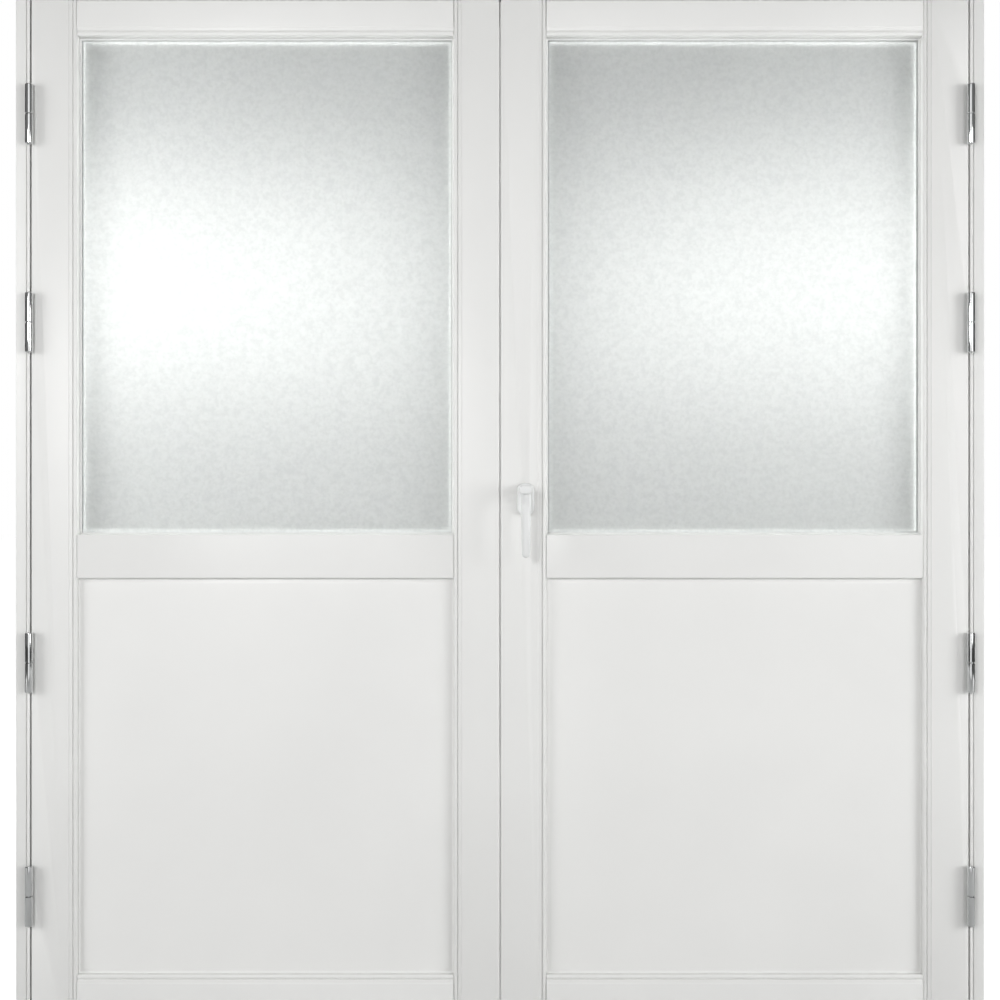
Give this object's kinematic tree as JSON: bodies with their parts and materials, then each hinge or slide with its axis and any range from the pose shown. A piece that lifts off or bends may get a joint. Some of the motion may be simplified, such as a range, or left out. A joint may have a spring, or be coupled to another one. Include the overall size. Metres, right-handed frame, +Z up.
{
  "type": "french doors",
  "caption": "White painted french doors in a frame, with frosted glass above, a raised panel below, chrome hinges and a lever handle.",
  "frame": {"origin": "middle of the underside of the threshold, midway through the frame's depth", "axes": "+Z up, +X to the right as seen from the front, front towards -Y"},
  "size_m": [1.8, 0.134, 2],
  "materials": {
    "painted_wood": "white satin paint on wood",
    "panel_paint": "white satin paint on a panel",
    "frosted_glass": "finely mottled frosted glass",
    "clear_glass": "clear float glass",
    "spacer_aluminium": "pale matt aluminium",
    "gasket_rubber": "grey rubber",
    "hinge_chrome": "polished chrome",
    "handle_paint": "white powder coat",
    "lock_steel": "zinc plated steel",
    "threshold_aluminium": "satin anodised"
  },
  "bodies": {
    "frame": {"left_jamb": "painted_wood", "right_jamb": "painted_wood", "head": "painted_wood", "threshold": "threshold_aluminium", "frame_seals": "gasket_rubber", "head_keep": "lock_steel", "left_hinge_frame_halves": "hinge_chrome", "right_hinge_frame_halves": "hinge_chrome", "hinge_pins": "lock_steel"},
    "left_leaf": {"left_hinge_stile": "painted_wood", "left_meeting_stile": "painted_wood", "left_top_rail": "painted_wood", "left_mid_rail": "painted_wood", "left_bottom_rail": "painted_wood", "left_lower_panel": "panel_paint", "left_frosted_pane": "frosted_glass", "left_inner_pane": "clear_glass", "left_pane_spacer": "spacer_aluminium", "left_glazing_gaskets": "gasket_rubber", "left_glazing_beads": "painted_wood", "left_hinge_leaf_halves": "hinge_chrome", "flush_bolt_plates": "lock_steel"},
    "right_leaf": {"right_hinge_stile": "painted_wood", "right_meeting_stile": "painted_wood", "right_top_rail": "painted_wood", "right_mid_rail": "painted_wood", "right_bottom_rail": "painted_wood", "right_lower_panel": "panel_paint", "right_frosted_pane": "frosted_glass", "right_inner_pane": "clear_glass", "right_pane_spacer": "spacer_aluminium", "right_glazing_gaskets": "gasket_rubber", "right_glazing_beads": "painted_wood", "right_hinge_leaf_halves": "hinge_chrome", "lock_case": "lock_steel", "lock_faceplate": "lock_steel", "handle_backplate": "handle_paint"},
    "handle": {"handle_lever": "handle_paint", "handle_spindle": "lock_steel", "lock_pinion": "lock_steel"},
    "upper_bolt": {"upper_bolt_rod": "lock_steel"},
    "lower_bolt": {"lower_bolt_rod": "lock_steel"},
    "left_top_bolt": {"left_top_bolt": "lock_steel"},
    "left_bottom_bolt": {"left_bottom_bolt": "lock_steel"}
  },
  "joints": [
    {"name": "left_leaf_swing", "type": "hinge", "parent": "frame", "child": "left_leaf", "pos_m": [-0.873, -0.048, 1], "axis": [0, 0, -1], "range_deg": [0, 110]},
    {"name": "right_leaf_swing", "type": "hinge", "parent": "frame", "child": "right_leaf", "pos_m": [0.873, -0.048, 1], "axis": [0, 0, 1], "range_deg": [0, 110]},
    {"name": "handle_turn", "type": "hinge", "parent": "right_leaf", "child": "handle", "pos_m": [0.0475, -0.04, 1.058], "axis": [0, -1, 0], "range_deg": [0, 90]},
    {"name": "upper_bolt_slide", "type": "slide", "parent": "right_leaf", "child": "upper_bolt", "axis": [0, 0, 1], "range_m": [0, 0.01571]},
    {"name": "lower_bolt_slide", "type": "slide", "parent": "right_leaf", "child": "lower_bolt", "axis": [0, 0, -1], "range_m": [0, 0.01571]},
    {"name": "left_top_bolt_slide", "type": "slide", "parent": "left_leaf", "child": "left_top_bolt", "axis": [0, 0, 1], "range_m": [0, 0.0157]},
    {"name": "left_bottom_bolt_slide", "type": "slide", "parent": "left_leaf", "child": "left_bottom_bolt", "axis": [0, 0, -1], "range_m": [0, 0.0157]}
  ],
  "couplings": [
    {"joint": "upper_bolt_slide", "follows": "handle_turn", "m_per_rad": 0.01},
    {"joint": "lower_bolt_slide", "follows": "handle_turn", "m_per_rad": 0.01}
  ]
}
